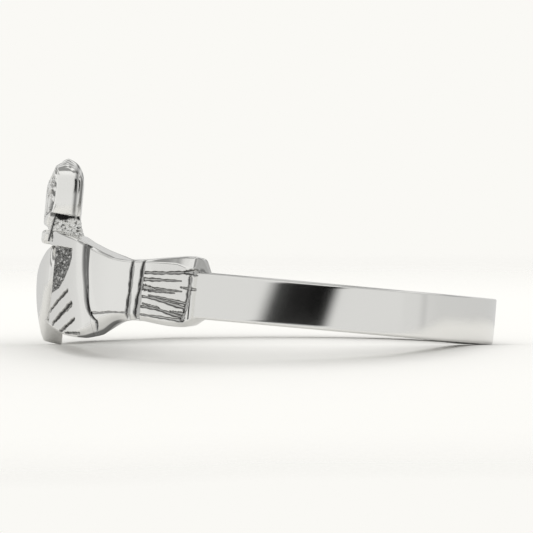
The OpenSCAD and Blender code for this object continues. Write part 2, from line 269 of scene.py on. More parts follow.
# Sections of an arm by the angle where they cross the band's middle, in millimetres: thickness of metal,
# then height of the face's edge, of the flank and of the bore's rim, below and above, and the bevel
armSections = [
    # angle thick   low  lowSide lowIn  top  topSide topIn bevel
    (0.0, 1.50, -1.50, -1.62, -1.60, 2.20, 2.26, 2.10, 0.14),
    (10.0, 1.50, -1.68, -1.80, -1.78, 2.21, 2.27, 2.10, 0.14),
    (15.0, 1.50, -1.84, -1.95, -2.18, 2.21, 2.27, 2.08, 0.14),
    (20.0, 1.50, -2.02, -2.16, -2.17, 2.12, 2.18, 1.98, 0.14),
    (24.0, 1.50, -2.15, -2.26, -1.97, 2.05, 2.12, 1.86, 0.14),
    (28.0, 1.50, -2.07, -2.30, -1.75, 1.98, 2.05, 1.76, 0.14),
    (31.0, 1.49, -1.88, -2.30, -1.60, 1.92, 1.98, 1.67, 0.16),
    (34.1, 1.36, -1.55, -2.20, -1.60, 1.74, 1.79, 1.58, 0.20),
    (37.0, 1.28, -1.31, -2.06, -1.50, 1.57, 1.63, 1.50, 0.24),
    (40.5, 1.27, -1.20, -1.81, -1.38, 1.41, 1.46, 1.39, 0.24),
    (44.0, 1.26, -1.10, -1.61, -1.30, 1.27, 1.32, 1.27, 0.22),
    (48.0, 1.25, -1.06, -1.42, -1.24, 1.22, 1.28, 1.22, 0.18),
    (50.5, 1.25, -1.06, -1.33, -1.24, 1.23, 1.30, 1.24, 0.16),
    (54.0, 1.24, -1.06, -1.31, -1.24, 1.25, 1.36, 1.30, 0.16),
    (58.0, 1.25, -1.17, -1.37, -1.28, 1.27, 1.46, 1.39, 0.16),
    (63.0, 1.25, -1.22, -1.43, -1.34, 1.27, 1.58, 1.52, 0.18),
    (66.0, 1.25, -1.20, -1.42, -1.34, 1.15, 1.65, 1.59, 0.24),
    (67.6, 1.24, -1.14, -1.34, -1.28, 1.04, 1.66, 1.60, 0.30),
    (68.2, 1.18, -1.10, -1.28, -1.22, 1.02, 1.64, 1.58, 0.34),
    (68.9, 0.95, -1.02, -1.18, -1.14, 1.00, 1.58, 1.50, 0.36),
    (69.8, 0.78, -0.98, -1.06, -1.04, 0.98, 1.30, 1.22, 0.38),
    (70.6, 0.64, -0.92, -0.96, -0.94, 0.94, 1.02, 0.98, 0.34),
    (71.8, 0.48, -0.86, -0.90, -0.88, 0.86, 0.92, 0.90, 0.22),
]

arm = {
    "split": 34.1, "cuffTo": 71.7, "step": 0.13, "faceSteps": 130,
    "edge": 0.07, "innerEdge": 0.1, "endEdge": 0.09,
    # How the heel of the hand leans: height against degrees round the ring, and by the angle how much
    "heel": [(-2.4, 4.9), (-1.3, 3.3), (0.0, 0.0), (1.6, -1.9), (2.3, -2.6)],
    "heelFade": [(0.0, 0.0), (20.0, 0.6), (32.0, 1.0), (36.0, 1.0), (48.0, 0.0), (69.0, 0.0)],
    # Behind the heart the arms are one flat, this far from the middle of the finger hole; it ends
    # at an angle that changes with height, where fingers and thumb begin
    "flat": 9.75, "flatBlend": 0.8,
    "flatEnd": [(-2.6, 14.0), (-2.0, 16.0), (0.0, 16.8), (1.50, 16.8), (1.62, 8.8), (2.3, 8.8)],
    # Painted shade on the lower part of that flat: how dark, and the heights over which it grows
    "flatDark": 0.55, "flatDarkBelow": (-0.3, -1.0),
    # Painted shade on the upper corner at the end of the cuff: how dark, by angle and height
    "endDark": 0.5, "endDarkFrom": (67.6, 68.6), "endDarkAbove": (0.78, 0.98),
    # Painted shade in a strip under the heel: how dark, and between which shares of the way down the lower
    # bevel
    "under": [(0.28, 0.05, 0.5), (0.72, 0.64, 0.74)], "underFrom": (32.6, 33.4), "underTo": (50, 46),
    # Soft unevenness of the metal: height, size and seed
    "soft": [(0.004, 0.9, 5), (0.0015, 0.3, 6)],
}

# Cuts of the graver on an arm: through (angle, height), width at start and end, depth, share of wall
armCuts = [
    # Chased lines of the cuff
    ([(54.55, 0.79), (59.65, 0.84), (66.25, 0.95)], 0.11, 0.12, 0.12, 0.6),
    ([(65.85, 0.95), (68.25, 0.99)], 0.12, 0.26, 0.16, 0.6),
    ([(54.15, 0.50), (65.25, 0.57)], 0.16, 0.05, 0.12, 0.6),
    ([(54.15, 0.16), (57.05, 0.11)], 0.25, 0.18, 0.13, 0.6),
    ([(56.15, 0.16), (65.55, 0.12)], 0.10, 0.06, 0.11, 0.6),
    ([(56.15, 0.03), (63.65, 0.02)], 0.10, 0.05, 0.09, 0.6),
    ([(65.15, 0.30), (68.55, 0.25)], 0.06, 0.12, 0.10, 0.6),
    ([(53.85, -0.24), (57.75, -0.28), (62.95, -0.46), (66.45, -0.57)], 0.09, 0.15, 0.11, 0.6),
    ([(56.15, -0.17), (61.25, -0.26), (66.55, -0.38)], 0.06, 0.13, 0.11, 0.6),
    ([(54.15, -0.68), (58.85, -0.72), (62.55, -0.87), (65.85, -0.98)], 0.10, 0.13, 0.12, 0.6),
    ([(54.45, -0.54), (59.45, -0.69)], 0.06, 0.11, 0.09, 0.6),
    ([(62.75, -0.78), (66.55, -0.85)], 0.06, 0.16, 0.13, 0.6),
    ([(54.05, -1.03), (60.95, -1.08), (66.45, -1.14)], 0.07, 0.13, 0.07, 0.6),
    ([(67.55, 0.76), (67.55, 0.34), (67.25, -0.30), (66.75, -0.80)], 0.12, 0.15, 0.10, 0.6),
    ([(66.75, -0.75), (66.25, -1.06)], 0.11, 0.24, 0.14, 0.6),
    # Grooves beside the raised ring, and the lower edge of the wrist
    ([(50.5, 1.6), (50.0, -1.6)], 0.16, 0.22, 0.13, 0.5),
    ([(54.0, 1.6), (53.3, 0.0), (53.0, -0.7), (52.8, -1.6)], 0.12, 0.30, 0.15, 0.5),
    ([(37.3, -1.16), (40.5, -1.13), (44.0, -1.05), (49.6, -1.01)], 0.09, 0.05, 0.06, 0.6),
    # Between the fingers
    ([(26.9, -0.31), (17.0, -1.24)], 0.15, 0.14, 0.17, 0.45),
    ([(29.4, -0.88), (24.5, -1.36), (19.6, -1.80)], 0.23, 0.15, 0.18, 0.4),
    ([(31.6, -1.51), (28.0, -1.86), (24.4, -2.16)], 0.13, 0.16, 0.18, 0.45),
    ([(27.5, -2.14), (34.0, -2.10)], 0.07, 0.10, 0.14, 0.6),
]

heelGap = {
    # Channel between the heel of the hand and the wrist: angle, height, half its width
    "path": [(32.7, 2.3, 0.17), (33.0, 1.45, 0.16), (33.3, 0.9, 0.14), (34.6, -0.1, 0.10),
             (35.9, -0.8, 0.07), (37.6, -1.25, 0.05), (39.5, -1.5, 0.03)],
    "deep": 0.17, "wall": 0.05, "wallShade": 0.045,
    "slant": 0.93,   # it runs askew, so it is narrower than it measures round the ring
}


# Depth of the channel, and the painted shade on its floor and walls
def channel(angle, z):
    rows = sorted((b, a, c) for a, b, c in heelGap["path"])
    middle, half = follow(rows, 1, z), follow(rows, 2, z)
    inside = half - np.abs(arcLong(angle) - arcLong(middle)) * heelGap["slant"]
    floor = smooth(-heelGap["wall"], heelGap["wall"], inside)
    walls = np.exp(-(inside / heelGap["wallShade"]) ** 2)
    return heelGap["deep"] * floor, np.maximum(floor, walls)


castGround = {
    # Sunk rough ground between thumb, fingers and heart, as (angle, height)
    "outline": [(27.5, 1.54), (27.6, 1.07), (26.5, 0.68), (24.4, 0.17), (21.8, -0.22), (18.9, -0.36),
                (13.6, -0.62), (0.0, -0.9), (0.0, 1.62), (13.0, 1.60), (20.4, 1.58)],
    # Its depth by the heart and away from it, and the angles between which it grows
    "deepByHeart": 0.13, "deep": 0.36, "deepens": (14, 19), "wall": 0.05, "grain": 0.06, "grainSize": 0.085,
}


# What is cut away from the arm's face, the painted shade in its cuts, channel and flat, and how much of it is
# rough ground
def armRelief(angle, z, points):
    cut, paintedShade = cutDepth(angle, z, armCuts)
    gap, gapShade = channel(angle, z)
    outline = [(arcLong(a), b) for a, b in castGround["outline"]]
    inside = insideOf(arcLong(angle), z, outline)
    ground = smooth(-castGround["wall"] * 0.3, castGround["wall"], inside)
    rough = smooth(0.0, 0.1, inside)
    size = castGround["grainSize"]
    grain = lumps(points, size, 11) + 0.5 * lumps(points, size / 2.1, 12)
    sunk = blend(castGround["deepByHeart"], castGround["deep"], smooth(*castGround["deepens"], angle))
    cut = np.maximum(np.maximum(cut, gap), ground * sunk + rough * castGround["grain"] * grain)
    paintedShade = np.maximum(paintedShade, gapShade)

    reach = np.hypot(points[..., 0], points[..., 1])
    flat = arm["flat"] / np.cos(np.radians(np.minimum(angle, 60)))
    ends = follow(arm["flatEnd"], 1, z)
    byHeart = smooth(ends + arm["flatBlend"], ends - arm["flatBlend"], angle)
    step = np.clip(reach - flat, 0, None) * byHeart
    cut = np.maximum(cut, step)
    # Painted shade on the flat behind the heart, growing towards its lower part
    shade = arm["flatDark"] * smooth(0.03, 0.2, step) * smooth(*arm["flatDarkBelow"], z)
    paintedShade = np.maximum(paintedShade, shade)
    soft = sum(height * lumps(points, size, seed) for height, size, seed in arm["soft"])
    return cut + soft, paintedShade, rough


def makeArm(name, side, start, end, roundEnd):
    angles = np.arange(start, end + arm["step"] / 2, arm["step"])
    inset = np.zeros(len(angles))
    if roundEnd:
        turn = np.radians(np.linspace(10, 90, 9))
        angles = np.concatenate([angles, end + np.degrees(arm["endEdge"] * np.sin(turn) / midR)])
        inset = np.concatenate([inset, arm["endEdge"] * (1 - np.cos(turn))])
    thick, low, lowSide, lowIn, top, topSide, topIn, bevel = [
        follow(armSections, column, angles) for column in range(1, 9)]
    outer = holeR + thick - inset
    low, lowSide, top, topSide = low + inset, lowSide + inset, top - inset, topSide - inset
    corners = [(outer, top), (outer, low), (outer - bevel, lowSide),
               (holeR, lowIn), (holeR, topIn), (outer - bevel, topSide)]
    edge, inner = arm["edge"], arm["innerEdge"]
    loops = roundedLoops(corners, [edge, edge, edge, inner, inner, edge],
                         [arm["faceSteps"], 10, 10, 12, 10, 10], 7)
    r, z = loops[..., 0], loops[..., 1]
    angle = angles[:, None] + follow(arm["heel"], 1, z) * follow(arm["heelFade"], 1, angles)[:, None]
    cut, paintedShade, rough = armRelief(angle, z, onRing(r, angle, z))
    face = smooth((outer - bevel - 0.02)[:, None], (outer - 0.02)[:, None], r)
    r = r - cut * face
    # Painted shade on the upper corner at the cuff's end
    cuffEndShade = smooth(*arm["endDarkAbove"], z) * smooth(*arm["endDarkFrom"], angle) * arm["endDark"]
    # Painted shade in a strip down the lower bevel under the heel
    down = (low[:, None] - z) / (low - lowSide)[:, None]
    under = sum(tone * smooth(first, last, down) for tone, first, last in arm["under"])
    under = under * smooth(*arm["underFrom"], angle) * smooth(*arm["underTo"], angle)
    # All the arm's painted shade, which goes to the material as the deep attribute
    paintedShade = np.maximum(np.maximum(paintedShade * face, cuffEndShade), under)
    return skin(name, onRing(r, angle, z, side), {"deep": paintedShade, "rough": rough * face}, flip=side > 0)


heart = {
    "wide": 4.7, "top": 1.68, "tip": 2.7, "blunt": 0.18,
    # Radius of a lobe as a share of the width; the cleft's depth and the fullness of a side in radii
    "lobe": 0.27, "cleft": 0.62, "full": 0.1, "rimSteps": 420,
    # How far out from the finger hole its front and back lie, how much the front is domed about its
    # centre, and how its side draws in towards the back
    "reach": 1.80, "back": 0.46, "dome": 0.55, "centre": 0.15, "taper": 0.10, "edge": 0.09, "backEdge": 0.06,
}


# The same closed outline with its points equally far apart
def evenOutline(outline, count):
    closed = np.concatenate([outline, outline[:1]])
    before = np.concatenate([[0], np.cumsum(np.linalg.norm(np.diff(closed, axis=0), axis=1))])
    at = np.linspace(0, before[-1], count, endpoint=False)
    return np.stack([np.interp(at, before, closed[:, k]) for k in (0, 1)], -1)


# Outline of the heart: on each side two arcs and a slightly full flank down to the blunt tip
def heartOutline():
    lobe = heart["wide"] * heart["lobe"]
    middle, up = heart["wide"] / 2 - lobe, heart["top"] - lobe
    turns = np.radians(np.linspace(132, -34, 60))
    arc = np.stack([middle + lobe * np.cos(turns), up + lobe * np.sin(turns)], -1)
    low, tip = arc[-1], np.array([heart["blunt"], -heart["tip"]])
    full = (low + tip) / 2 + [heart["full"] * lobe, 0]
    t = np.linspace(0, 1, 60)[1:, None]
    side = (1 - t) ** 2 * low + 2 * t * (1 - t) * full + t * t * tip
    half = np.concatenate([[[0.0, up + lobe * heart["cleft"]]], arc, side, [[0.0, -heart["tip"] - 0.01]]])
    even = evenOutline(np.concatenate([half, half[1:-1][::-1] * [-1, 1]]), heart["rimSteps"])
    for _ in range(4):
        even = (np.roll(even, 1, 0) + 2 * even + np.roll(even, -1, 0)) / 4
    return even


# A plate with a shaped front and back, rounded at its rim: outline is (y, z), front and back give -x,
# rim gives how far the side draws in by the share of the way back
def plate(name, outline, centre, front, back, frontEdge, backEdge, shares, rim, rimSteps=8, masks=None):
    towards = centre - outline
    far = np.linalg.norm(towards, axis=1, keepdims=True)
    towards = towards / far
    rings, sides = [], []
    quarter = np.radians(np.linspace(0, 90, 9))[1:]
    for share in shares:
        rings.append(outline + towards * (far * (1 - share) * (1 - frontEdge / far) + frontEdge))
        sides.append(front(rings[-1]))
    for turn in quarter:
        rings.append(outline + towards * frontEdge * (1 - np.sin(turn)))
        sides.append(front(rings[-1]) - frontEdge * (1 - np.cos(turn)))
    rimFront, rimBack, sideFront = front(outline), back(outline), sides[-1]
    room = np.maximum(sideFront - rimBack - backEdge, 0)
    for share in np.linspace(0, 1, rimSteps)[1:]:
        rings.append(outline)
        sides.append(sideFront - room * share)
    for turn in quarter:
        rings.append(outline + towards * backEdge * (1 - np.cos(turn)))
        sides.append(np.minimum(back(rings[-1]) + backEdge * (1 - np.sin(turn)), sides[-1]))
    for share in shares[::-1][1::2]:
        rings.append(outline + towards * (far * (1 - share) * (1 - backEdge / far) + backEdge))
        sides.append(back(rings[-1]))
    full = np.maximum(rimFront - rimBack, 0.05)
    points = []
    for ring, x in zip(rings, sides):
        byRim = smooth(0.5, 0.0, np.linalg.norm(ring - outline, axis=1, keepdims=True))
        ring = ring - towards * rim(np.clip((rimFront - x) / full, 0, 1))[:, None] * byRim
        points.append(np.stack([-x, ring[:, 0], ring[:, 1]], -1))
    points = np.array(points)
    return skin(name, points, masks and masks(points))


def makeHeart():
    outline, centre = heartOutline(), np.array([0.0, heart["centre"]])
    far = np.linalg.norm(outline - centre, axis=1)

    def front(ring):
        share = np.linalg.norm(ring - centre, axis=1) / far
        return holeR + heart["reach"] - heart["dome"] * share ** 2

    def back(ring):
        return np.full(len(ring), holeR + heart["back"])

    def rim(share):
        return heart["taper"] * (share - 1)

    return plate("heart", outline, centre, front, back, heart["edge"], heart["backEdge"],
                 np.linspace(0.02, 1, 46), rim)


crown = {
    "top": 5.46, "foot": 2.92, "wide": 5.1, "footWide": 4.2, "thick": 1.76, "clear": 0.13,
    # Height of its middle, and how far through its thickness its crest lies
    "middle": 3.9, "crest": 0.60,
    # Lobes along the upper edge: place and height as shares of half the width and of the top, size
    "lobes": [(-0.745, 0.835, 0.255), (-0.385, 0.885, 0.200), (0.0, 0.905, 0.205),
              (0.385, 0.885, 0.200), (0.745, 0.835, 0.255)],
    # How much the sides draw in from the widest height down to the foot, and how suddenly
    "widest": 4.55, "drawIn": 0.12, "drawPower": 3.2,
    # How far the lower edge hangs in the middle, and how much it has risen at a share of the half foot
    "dip": 2.06, "dipRise": (0.35, 0.08),
    # Front and back round over towards the top edge, over these shares of the height; tighter on the
    # outer lobes, from one place across to another
    "frontRound": 0.25, "backRound": 0.2, "outerTight": 0.55, "backTight": 0.1, "outerFrom": (1.3, 2.1),
    # The front's curve from side to side, how it leans back above, and its chin below
    "frontCurve": 6.7, "lean": 0.34, "leanFrom": (3.9, 5.0), "chin": 0.75, "chinTop": 2.62,
    # Edges, how the side draws in and swells, and its groove: share of the way back, half width, depth
    "frontEdge": 0.06, "backEdge": 0.27, "taper": 0.24, "pillow": 0.02, "groove": (0.77, 0.06, 0.022),
    # A bead on each lobe, how far it stands out, and the depth of the dish round it
    "bead": 0.24, "beadOut": 0.15, "dish": 0.14,
    # Painted shade in a line round the side, this far from the back, half its width, and the heights where it
    # begins;
    # the same heights for the painted shade on the edge of the back, and its width; depth from which a cut's
    # painted shade is full
    "line": 0.30, "lineHalf": 0.085, "lineFrom": (2.6, 3.2), "edgeFrom": (2.9, 3.6), "edgeWide": (0.17, 0.10),
    "fully": 0.12, "frontRings": 84, "rimSteps": 560,
}


def crownOutline():
    half, foot = crown["wide"] / 2, crown["footWide"] / 2
    centre = np.array([0.0, crown["middle"]])
    turns = np.linspace(0, 2 * math.pi, 1440, endpoint=False)
    heights = np.linspace(crown["foot"], crown["widest"], 80)
    down = (crown["widest"] - heights) / (crown["widest"] - crown["foot"])
    side = np.stack([half * (1 - crown["drawIn"] * down ** crown["drawPower"]), heights], -1)
    across = np.linspace(0, foot, 30)[:-1]
    share, risen = crown["dipRise"]
    under = [(0.0, crown["dip"]), (foot * share, crown["dip"] + risen), (foot, crown["foot"])]
    low = np.stack([across, follow(under, 1, across)], -1)
    body = np.concatenate([low, side, [[0.0, crown["top"] * 0.9]]])
    # How far the half outline lies from the middle in each direction, mirrored for the other half
    seen = np.arctan2(body[:, 0], body[:, 1] - crown["middle"])
    far = np.hypot(body[:, 0], body[:, 1] - crown["middle"])
    order = np.argsort(seen)
    reach = np.interp(np.where(turns < math.pi, turns, 2 * math.pi - turns), seen[order], far[order])
    way = np.stack([np.sin(turns), np.cos(turns)], -1)
    for place, up, size in crown["lobes"]:
        lobe = np.array([place * half, up * crown["top"] - crown["middle"]])
        along = way @ lobe
        room = (size * half) ** 2 - lobe @ lobe + along ** 2
        edge = np.maximum(reach, along + np.sqrt(np.maximum(room, 0)))
        reach = np.where((room > 0) & (along > 0), edge, reach)
    for _ in range(12):
        reach = (np.roll(reach, 1) + 2 * reach + np.roll(reach, -1)) / 4
    return evenOutline(centre + way * reach[:, None], crown["rimSteps"]), centre


# Scrolls cut into each half of the crown's front: through (across, height), width at start and end, depth
crownCuts = [
    ([(1.75, 5.05), (2.10, 4.95), (2.34, 4.66)], 0.09, 0.20, 0.09),
    ([(1.55, 4.25), (1.82, 4.42), (2.12, 4.32), (2.34, 4.02)], 0.10, 0.20, 0.10),
    ([(1.35, 3.62), (1.62, 3.90), (2.02, 3.94), (2.26, 3.66), (2.20, 3.45)], 0.11, 0.24, 0.11),
    ([(0.62, 4.42), (0.98, 4.50), (1.30, 4.36)], 0.10, 0.10, 0.08),
    ([(0.45, 3.70), (0.70, 4.00), (1.05, 4.02), (1.28, 3.75)], 0.10, 0.12, 0.09),
    ([(0.0, 4.50), (0.28, 4.42)], 0.10, 0.09, 0.08),
    ([(0.0, 4.06), (0.25, 3.92), (0.36, 3.70)], 0.12, 0.11, 0.09),
    ([(0.10, 2.62), (1.05, 2.82), (1.95, 3.10)], 0.08, 0.08, 0.05),
]
cutDepths = 1.9   # how much bolder they are all cut
# Drops sunk between them: across, foot, radius, height
crownDrops = [(0.48, 2.98, 0.24, 0.62), (1.19, 3.06, 0.24, 0.62), (1.86, 3.30, 0.25, 0.50)]
dropDepth = 0.17


def makeCrown():
    outline, centre = crownOutline()
    backX, frontX = holeR + crown["clear"], holeR + crown["thick"]
    crestX = backX + crown["crest"] * (frontX - backX)
    half, bead = crown["wide"] / 2, crown["bead"]

    # How far the front stands out at each place, negative where it is sunk
    def carved(ring):
        across, up = np.abs(ring[:, 0]), ring[:, 1]
        sunk, raised = np.zeros(len(up)), np.zeros(len(up))
        for path, first, last, deep in crownCuts:
            apart, share = toPath(across, up, path)
            off = apart / (blend(first, last, share) / 2)
            sunk = np.maximum(sunk, deep * cutDepths * (1 - smooth(0.6, 1.45, off)))
        for place, foot, r, tall in crownDrops:
            slim = r * np.sqrt(np.clip(1 - (up - foot) / tall, 0, 1))
            beside = np.abs(across - place) / np.maximum(slim, 0.02) * r
            apart = np.hypot(beside, np.minimum(up - foot, 0)) / r
            sunk = np.maximum(sunk, dropDepth * (1 - smooth(0.75, 1.05, apart)))
        for place, high, _ in crown["lobes"]:
            apart = np.hypot(ring[:, 0] - place * half, up - high * crown["top"] + bead * 0.8)
            dish = np.maximum(sunk, crown["dish"] * smooth(1.25, 1.1, apart / bead))
            sunk = np.where(apart < bead * 1.25, dish, sunk)
            dome = np.sqrt(np.clip(1 - (apart / bead) ** 2, 0, 1))
            raised = np.maximum(raised, dome * crown["beadOut"])
        return raised - sunk

    upper = outline[outline[:, 1] > crown["widest"] - 0.3]
    upper = upper[np.argsort(upper[:, 0])]
    outer = crown["lobes"][-1][0] * half

    # Rounded over towards the local top edge, more tightly on the outer lobes
    def profile(ring, share, reach, tight):
        across = np.abs(ring[:, 0])
        top = np.interp(np.clip(across, 0, outer), upper[:, 0], upper[:, 1])
        size = share * crown["top"] * (1 - tight * smooth(*crown["outerFrom"], across))
        over = np.clip(1 - (top + 0.02 - ring[:, 1]) / size, 0, 1)
        return reach * np.sqrt(1 - over * over)

    def front(ring):
        lean = 1 - crown["lean"] * smooth(*crown["leanFrom"], ring[:, 1])
        x = crestX + lean * profile(ring, crown["frontRound"], frontX - crestX, crown["outerTight"])
        curve = frontX - ring[:, 0] ** 2 / (2 * crown["frontCurve"])
        soft = 0.05   # the lesser of the two, blended
        x = -soft * np.log(np.exp(-x / soft) + np.exp(-curve / soft))
        chin = crown["chin"] * np.clip(crown["chinTop"] - ring[:, 1], 0, None) ** 2
        return x - chin + carved(ring)

    def back(ring):
        return crestX - profile(ring, crown["backRound"], crestX - backX, crown["backTight"])

    # Painted shade in the cuts, in a line round the side and on the upper edge of the back
    def masks(points):
        sunk = -np.array([carved(row) for row in points[..., 1:]])
        isFront = np.zeros(points.shape[:2])
        isFront[:crown["frontRings"]] = 1
        depth, up = -points[..., 0] - backX, points[..., 2]
        edge = smooth(*crown["edgeWide"], depth) * smooth(0.005, 0.03, depth) * smooth(*crown["edgeFrom"], up)
        line = np.exp(-((depth - crown["line"]) / crown["lineHalf"]) ** 2) * smooth(*crown["lineFrom"], up)
        behind = np.maximum(edge, line * (1 - isFront))
        return {"deep": np.maximum(np.clip(sunk / crown["fully"], 0, 1) * isFront, behind)}

    def rim(share):
        at, wide, deep = crown["groove"]
        swell = crown["pillow"] * np.sin(math.pi * np.minimum(share / 0.8, 1))
        return crown["taper"] * (share - 1) + swell - deep * np.exp(-((share - at) / wide) ** 2)

    shares = np.sin(np.linspace(0.02, math.pi / 2, crown["frontRings"]))
    return plate("crown", outline, centre, front, back, crown["frontEdge"], crown["backEdge"],
                 shares, rim, 24, masks)


neck = {
    "low": 1.75, "high": 3.2, "front": 9.80, "back": 8.86, "edge": 0.05,
    # Half its width at the foot and at the top, and how far its back steps in at the foot
    "halfLow": 2.50, "halfHigh": 1.90, "flare": 0.45, "clear": 0.04, "grain": 0.05, "grainSize": 0.10,
    # Narrower web in front of it, and the line of painted shade where its smooth part begins, at foot and top
    "web": 10.12, "webHalf": 1.92, "line": (10.10, 9.84), "lineHalf": 0.05,
    # The crown's shade: where it begins and how far it takes to grow, and the height and size of its waves
    "shade": 2.74, "shadeFade": 0.1, "shadeWave": 0.08, "shadeSize": 0.22,
}


# Rough neck under the crown, with a narrower dark web in front of it behind the cleft block; painted shade
# lies along the edge of the rough part and under the crown
def makeNeck():
    heights = np.linspace(neck["low"], neck["high"], 80)
    share = (heights - neck["low"]) / (neck["high"] - neck["low"])
    spread = (1 - share) ** 2
    half = blend(neck["halfHigh"], neck["halfLow"], spread)
    web, slim = -neck["web"], neck["webHalf"]
    front, back = -neck["front"], neck["flare"] * spread - neck["back"]
    corners = [(web, -slim), (front, -slim), (front, -half), (back, -half),
               (back, half), (front, half), (front, slim), (web, slim)]
    loops = roundedLoops(corners, [neck["edge"]] * 8, [14, 16, 44, 70, 44, 16, 14, 70], 5)
    x, y, z = np.broadcast_arrays(loops[..., 0], loops[..., 1], heights[:, None])
    points = np.stack([x, y, z], -1)
    out = points[..., :2] - [-(neck["front"] + neck["back"]) / 2, 0]
    out = out / np.linalg.norm(out, axis=-1, keepdims=True)
    size = neck["grainSize"]
    grain = neck["grain"] * (lumps(points, size, 21) + 0.6 * lumps(points, size / 2, 22))
    x, y = x + out[..., 0] * grain, y + out[..., 1] * grain
    reach = np.hypot(x, y)
    clear = np.maximum(reach, holeR + neck["clear"]) / reach
    x, y = x * clear, y * clear
    line = blend(*neck["line"], share[:, None])
    shade = z + neck["shadeWave"] * lumps(points, neck["shadeSize"], 23)
    # Painted shade: a dark line where the rough part ends, and the crown's shade over the top
    paintedShade = np.maximum(np.exp(-((-x - line) / neck["lineHalf"]) ** 2),
                      smooth(neck["shade"], neck["shade"] + neck["shadeFade"], shade))
    return skin("neck", np.stack([x, y, z], -1), {"deep": paintedShade, "rough": smooth(0.05, 0.0, -x - line)})


block = {
    "low": 1.62, "high": 2.24, "front": 10.43, "back": 9.5, "halfLow": 0.5, "halfHigh": 0.66, "edge": 0.18,
}


# Small rounded block above the heart's cleft
def makeBlock():
    edge = block["edge"]
    low, high = block["low"] + edge, block["high"] - edge
    turn = np.radians(np.linspace(0, 90, 6))[1:]
    rise = edge * np.sin(turn)
    heights = np.concatenate([low - rise[::-1], np.linspace(low, high, 10), high + rise])
    inset = edge * np.concatenate([1 - np.cos(turn[::-1]), np.zeros(10), 1 - np.cos(turn)])
    share = (heights - block["low"]) / (block["high"] - block["low"])
    half = blend(block["halfLow"], block["halfHigh"], share) - inset
    front, back = inset - block["front"], -block["back"]
    corners = [(front, -half), (back, -half), (back, half), (front, half)]
    loops = roundedLoops(corners, [edge] * 4, [8, 10, 8, 14])
    points = np.stack(np.broadcast_arrays(loops[..., 0], loops[..., 1], heights[:, None]), -1)
    return skin("cleftBlock", points)


pieces = [makeBand(), makeHeart(), makeCrown(), makeNeck(), makeBlock()]
for sideName, side in (("near", 1), ("far", -1)):
    pieces.append(makeArm(sideName + "Hand", side, 0.0, arm["split"], False))
    pieces.append(makeArm(sideName + "Cuff", side, arm["split"], arm["cuffTo"], True))
print("shapes made")


# Gives a node its inputs: each is a number or colour to set, or a socket to link
def feed(tree, node, inputs):
    for key, value in inputs.items():
        if isinstance(value, bpy.types.NodeSocket):
            tree.links.new(value, node.inputs[key])
        else:
            node.inputs[key].default_value = value


# Adds a shader node, in columns below the one that a new material comes with
def addNode(tree, kind, inputs=None, **settings):
    count = len(tree.nodes)
    node = tree.nodes.new(kind if kind.startswith("NodeGroup") else "ShaderNode" + kind)
    node.location = (220 * (count // 4), -320 * (count % 4) - 600)
    for key, value in settings.items():
        setattr(node, key, value)
    feed(tree, node, inputs or {})
    return node


def calc(tree, operation, *values):
    return addNode(tree, "Math", dict(enumerate(values)), operation=operation).outputs[0]


def smoothNode(tree, value, ends):
    inputs = {"Value": value, "From Min": ends[0], "From Max": ends[1]}
    return addNode(tree, "MapRange", inputs, interpolation_type="SMOOTHSTEP").outputs["Result"]


def mix(tree, kind, share, a, b):
    return addNode(tree, "Mix", {"Factor": share, "A": a, "B": b}, data_type=kind).outputs["Result"]


def tinted(tone, tint):
    return (*[tone * part for part in tint], 1)


# Tones along a ramp, as (place, tone)
def fillRamp(ramp, stops, tint):
    elements = ramp.color_ramp.elements
    while len(elements) > 1:
        elements.remove(elements[-1])
    for i, (place, tone) in enumerate(stops):
        stop = elements[0] if i == 0 else elements.new(place)
        stop.position = place
        stop.color = tinted(tone, tint)


def newGroup(name, inputs, outputs):
    group = bpy.data.node_groups.new(name, "ShaderNodeTree")
    for label in inputs:
        group.interface.new_socket(label, in_out="INPUT", socket_type="NodeSocketFloat")
    for label, kind in outputs.items():
        group.interface.new_socket(label, in_out="OUTPUT", socket_type="NodeSocket" + kind)
    return group, addNode(group, "NodeGroupInput").outputs


silver = {
    # Silver's own colour, then the painted shade's tone on smooth metal and on rough ground
    "bright": (0.93, 0.925, 0.905), "deepTone": (0.14, 0.14, 0.138), "pitTone": (0.02, 0.02, 0.02),
    # Polish: least and most roughness as shares of a finish's own, and its swirls and hairlines
    "haze": (0.8, 1.25), "swirlDetail": 3.0, "hairSize": 26000.0,
    # Cast ground: its tones of painted shade and painted glints, roughness and height of bump
    "grainTones": [(0.30, 0.06), (0.46, 0.19), (0.60, 0.42), (0.70, 0.95)], "grainTint": (1, 1, 0.98),
    "grainDetail": 4.0, "groundRough": 0.24, "groundBump": 0.00006,
}


# Faint swirls and hairlines that polishing leaves
def polishGroup():
    group, given = newGroup("polishMarks", ["Swirl Size"], {"Height": "Float", "Haze": "Float"})
    spot = addNode(group, "TexCoord").outputs["Object"]
    swirl = addNode(group, "TexNoise", {
        "Vector": spot, "Scale": given["Swirl Size"], "Detail": silver["swirlDetail"]}).outputs["Fac"]
    hair = addNode(group, "TexNoise", {"Vector": spot, "Scale": silver["hairSize"]}).outputs["Fac"]
    addNode(group, "NodeGroupOutput", {"Height": calc(group, "ADD", swirl, hair), "Haze": swirl})
    return group


